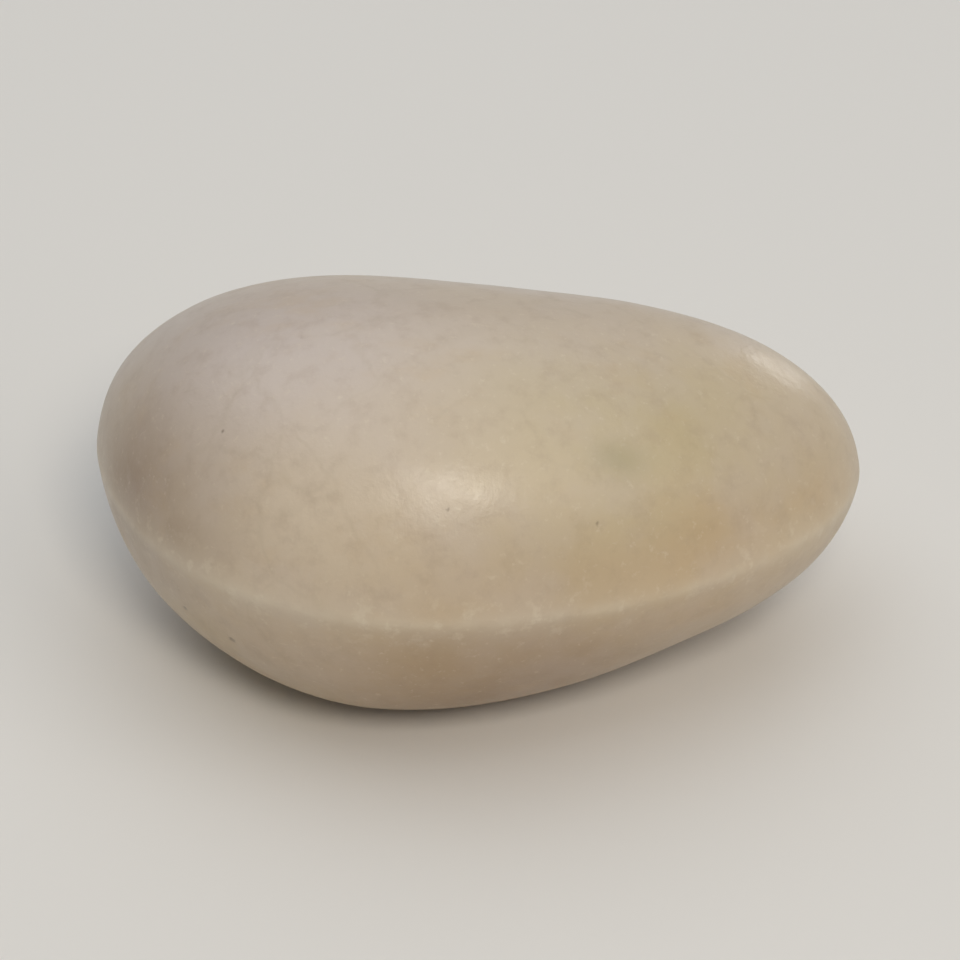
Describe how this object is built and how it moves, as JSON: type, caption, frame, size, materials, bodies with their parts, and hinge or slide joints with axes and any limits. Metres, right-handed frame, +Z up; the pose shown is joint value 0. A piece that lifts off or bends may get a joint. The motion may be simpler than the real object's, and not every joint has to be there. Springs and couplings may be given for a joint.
{
  "type": "cranberry bean",
  "caption": "Dried cranberry bean lying on a broad face: a smooth, plump seed with a faint ridge round its edge and a sunken oval scar on its straighter side.",
  "frame": {"origin": "middle of the seed's bounding box, at its underside", "axes": "+X along the seed to its narrower end, +Y to the side that carries the scar, +Z up through the broad faces"},
  "size_m": [0.014, 0.009, 0.0072],
  "materials": {
    "seed_coat": "satin"
  },
  "bodies": {
    "root": {"bean": "seed_coat"}
  },
  "joints": []
}
